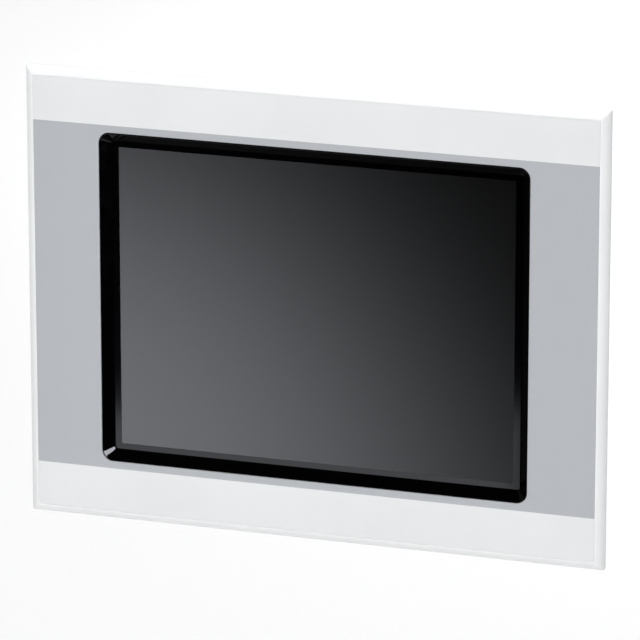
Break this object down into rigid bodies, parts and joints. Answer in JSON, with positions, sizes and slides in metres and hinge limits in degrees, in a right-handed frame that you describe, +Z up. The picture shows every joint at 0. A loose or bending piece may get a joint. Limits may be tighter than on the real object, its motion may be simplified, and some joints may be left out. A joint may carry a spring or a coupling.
{
  "type": "hmi touch panel",
  "caption": "Flush-mounted operator panel: a recessed touch display in a bevelled frame, with a gasket, rear housing, screw clamps and connectors along its underside.",
  "frame": {"origin": "middle of the door cut-out, in the plane of the door's front face, where the gasket seals", "axes": "+X to the operator's right, +Y into the cabinet (the screen faces -Y), +Z up"},
  "size_m": [0.361, 0.0588, 0.279],
  "materials": {
    "frame_edge": "smooth semi-gloss near-white moulding",
    "front_film": "fine satin printed overlay, silver grey with near-white bands",
    "gloss_black": "polished infrared-clear black",
    "screen_glass": "dark, lightly diffusing glass",
    "circuit_board": "solder-masked board",
    "black_rubber": "matt foam rubber",
    "display_cell": "dark polariser",
    "display_case": "satin sheet over a moulded light guide",
    "carrier_sheet": "plain folded sheet",
    "housing_steel": "zinc-coated sheet, faint spangle",
    "aluminium": "satin extrusion",
    "brass": "machined",
    "zinc_steel": "bright zinc plate",
    "port_metal": "nickel-plated shell",
    "black_plastic": "moulded",
    "green_plastic": "moulded",
    "grey_plastic": "moulded",
    "label_film": "blank printed label"
  },
  "bodies": {
    "unit": {"backlight_inverter": "circuit_board", "battery_holder": "black_plastic", "button_switch": "black_plastic", "can_port": "port_metal", "card_socket": "port_metal", "clamp_bracket_bottom_left": "zinc_steel", "clamp_bracket_bottom_right": "zinc_steel", "clamp_bracket_left": "zinc_steel", "clamp_bracket_right": "zinc_steel", "clamp_bracket_top_left": "zinc_steel", "clamp_bracket_top_right": "zinc_steel", "coin_cell": "zinc_steel", "cover_screw_bottom_left": "zinc_steel", "cover_screw_bottom_right": "zinc_steel", "cover_screw_top_left": "zinc_steel", "cover_screw_top_right": "zinc_steel", "display_carrier": "carrier_sheet", "display_glass": "screen_glass", "earth_nut": "zinc_steel", "earth_stud": "brass", "ethernet_port": "port_metal", "front_film": "front_film", "front_frame": "frame_edge", "glass_seal": "black_rubber", "heat_sink": "aluminium", "ir_detector_board_bottom": "circuit_board", "ir_detector_board_side": "circuit_board", "ir_emitter_board_side": "circuit_board", "ir_emitter_board_top": "circuit_board", "lcd_chassis": "display_case", "lcd_panel": "display_cell", "mainboard": "circuit_board", "panel_gasket": "black_rubber", "power_header": "green_plastic", "rating_plate": "label_film", "rear_cover": "housing_steel", "rear_housing": "housing_steel", "serial_port": "port_metal", "standoff_bottom_left": "brass", "standoff_bottom_right": "brass", "standoff_top_left": "brass", "standoff_top_right": "brass", "touch_bezel": "gloss_black", "usb_device_port": "port_metal", "usb_host_port": "port_metal"},
    "clamp_foot_bottom_left": {"clamp_foot_bottom_left": "brass"},
    "clamp_foot_bottom_right": {"clamp_foot_bottom_right": "brass"},
    "clamp_foot_left": {"clamp_foot_left": "brass"},
    "clamp_foot_right": {"clamp_foot_right": "brass"},
    "clamp_foot_top_left": {"clamp_foot_top_left": "brass"},
    "clamp_foot_top_right": {"clamp_foot_top_right": "brass"},
    "clamp_pin_bottom_left": {"clamp_pin_bottom_left": "zinc_steel"},
    "clamp_pin_bottom_right": {"clamp_pin_bottom_right": "zinc_steel"},
    "clamp_pin_left": {"clamp_pin_left": "zinc_steel"},
    "clamp_pin_right": {"clamp_pin_right": "zinc_steel"},
    "clamp_pin_top_left": {"clamp_pin_top_left": "zinc_steel"},
    "clamp_pin_top_right": {"clamp_pin_top_right": "zinc_steel"},
    "ctrl_button": {"ctrl_button": "grey_plastic"},
    "memory_card": {"memory_card": "black_plastic"},
    "power_plug": {"power_plug": "green_plastic"}
  },
  "joints": [
    {"name": "clamp_travel_top_left", "type": "slide", "parent": "unit", "child": "clamp_foot_top_left", "axis": [0, -1, 0], "range_m": [0, 0.005]},
    {"name": "clamp_turn_top_left", "type": "hinge", "parent": "clamp_foot_top_left", "child": "clamp_pin_top_left", "pos_m": [-0.09, 0.02, 0.128], "axis": [0, -1, 0], "range_deg": [0, 2572]},
    {"name": "clamp_travel_top_right", "type": "slide", "parent": "unit", "child": "clamp_foot_top_right", "axis": [0, -1, 0], "range_m": [0, 0.005]},
    {"name": "clamp_turn_top_right", "type": "hinge", "parent": "clamp_foot_top_right", "child": "clamp_pin_top_right", "pos_m": [0.09, 0.02, 0.128], "axis": [0, -1, 0], "range_deg": [0, 2572]},
    {"name": "clamp_travel_bottom_left", "type": "slide", "parent": "unit", "child": "clamp_foot_bottom_left", "axis": [0, -1, 0], "range_m": [0, 0.005]},
    {"name": "clamp_turn_bottom_left", "type": "hinge", "parent": "clamp_foot_bottom_left", "child": "clamp_pin_bottom_left", "pos_m": [-0.09, 0.02, -0.128], "axis": [0, -1, 0], "range_deg": [0, 2572]},
    {"name": "clamp_travel_bottom_right", "type": "slide", "parent": "unit", "child": "clamp_foot_bottom_right", "axis": [0, -1, 0], "range_m": [0, 0.005]},
    {"name": "clamp_turn_bottom_right", "type": "hinge", "parent": "clamp_foot_bottom_right", "child": "clamp_pin_bottom_right", "pos_m": [0.09, 0.02, -0.128], "axis": [0, -1, 0], "range_deg": [0, 2572]},
    {"name": "clamp_travel_left", "type": "slide", "parent": "unit", "child": "clamp_foot_left", "axis": [0, -1, 0], "range_m": [0, 0.005]},
    {"name": "clamp_turn_left", "type": "hinge", "parent": "clamp_foot_left", "child": "clamp_pin_left", "pos_m": [-0.169, 0.02, 0], "axis": [0, -1, 0], "range_deg": [0, 2572]},
    {"name": "clamp_travel_right", "type": "slide", "parent": "unit", "child": "clamp_foot_right", "axis": [0, -1, 0], "range_m": [0, 0.005]},
    {"name": "clamp_turn_right", "type": "hinge", "parent": "clamp_foot_right", "child": "clamp_pin_right", "pos_m": [0.169, 0.02, 0], "axis": [0, -1, 0], "range_deg": [0, 2572]},
    {"name": "card_slide", "type": "slide", "parent": "unit", "child": "memory_card", "axis": [1, 0, 0], "range_m": [0, 0.03]},
    {"name": "plug_slide", "type": "slide", "parent": "unit", "child": "power_plug", "axis": [0, 0, -1], "range_m": [0, 0.01]},
    {"name": "button_push", "type": "slide", "parent": "unit", "child": "ctrl_button", "axis": [0, 0, 1], "range_m": [0, 0.0012], "stiffness_N_per_m": 500}
  ],
  "couplings": [
    {"joint": "clamp_turn_top_left", "follows": "clamp_travel_top_left", "rad_per_m": 8976},
    {"joint": "clamp_turn_top_right", "follows": "clamp_travel_top_right", "rad_per_m": 8976},
    {"joint": "clamp_turn_bottom_left", "follows": "clamp_travel_bottom_left", "rad_per_m": 8976},
    {"joint": "clamp_turn_bottom_right", "follows": "clamp_travel_bottom_right", "rad_per_m": 8976},
    {"joint": "clamp_turn_left", "follows": "clamp_travel_left", "rad_per_m": 8976},
    {"joint": "clamp_turn_right", "follows": "clamp_travel_right", "rad_per_m": 8976}
  ]
}
